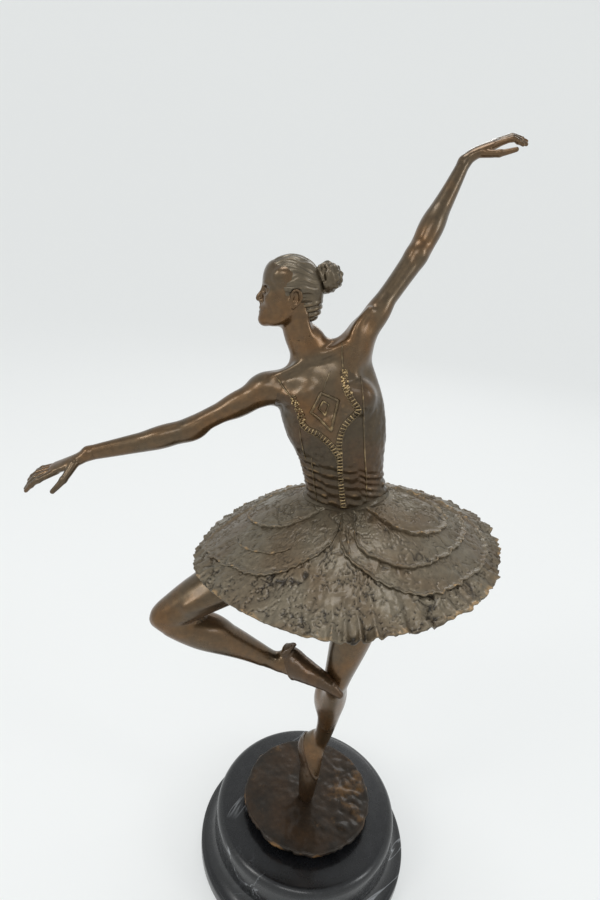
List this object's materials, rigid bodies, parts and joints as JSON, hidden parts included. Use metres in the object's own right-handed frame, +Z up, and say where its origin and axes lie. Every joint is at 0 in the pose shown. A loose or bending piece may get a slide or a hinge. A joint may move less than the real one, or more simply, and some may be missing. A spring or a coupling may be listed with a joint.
{
  "type": "bronze statuette",
  "caption": "Patinated bronze ballerina on pointe in a wide ruffled tutu, arms outstretched, standing on a round bronze ground and a turned black marble base.",
  "frame": {"origin": "centre of the base's underside, on the felt", "axes": "+Z up; -Y is the figure's front, +X to the right seen from the front"},
  "size_m": [0.2666, 0.1752, 0.4963],
  "materials": {
    "felt": "matt felt",
    "marble": "polished black marble with thin pale veins",
    "steel": "zinc plated",
    "ground_bronze": "dark brown patina, rubbed golden at the edge",
    "skin_bronze": "waxed brown patina, satin",
    "cloth_bronze": "grey-brown patina, dull, rubbed on the high spots",
    "trim_bronze": "rubbed golden patina",
    "hair_bronze": "dark brown patina"
  },
  "bodies": {
    "root": {"felt_pad": "felt", "marble_base": "marble", "hex_nut": "steel", "spring_washer": "steel", "flat_washer": "steel", "fixing_stud": "steel", "ground_disc": "ground_bronze", "toe_pin": "steel", "standing_shoe": "skin_bronze", "standing_calf": "skin_bronze", "standing_thigh": "skin_bronze", "raised_shoe": "skin_bronze", "raised_calf": "skin_bronze", "raised_thigh": "skin_bronze", "pelvis": "cloth_bronze", "tutu_plate": "cloth_bronze", "panel_front_left": "cloth_bronze", "panel_front_left_top": "cloth_bronze", "panel_front_right": "cloth_bronze", "panel_front_right_mid": "cloth_bronze", "panel_front_right_top": "cloth_bronze", "panel_back_left": "cloth_bronze", "panel_back_right": "cloth_bronze", "waistband": "cloth_bronze", "bodice": "cloth_bronze", "bodice_braid": "trim_bronze", "bodice_lozenge": "trim_bronze", "shoulder_straps": "cloth_bronze", "chest": "skin_bronze", "neck": "skin_bronze", "head": "skin_bronze", "hair_bun": "hair_bronze", "right_upper_arm": "skin_bronze", "right_forearm": "skin_bronze", "right_hand": "skin_bronze", "left_upper_arm": "skin_bronze", "left_forearm": "skin_bronze", "left_hand": "skin_bronze"}
  },
  "joints": []
}
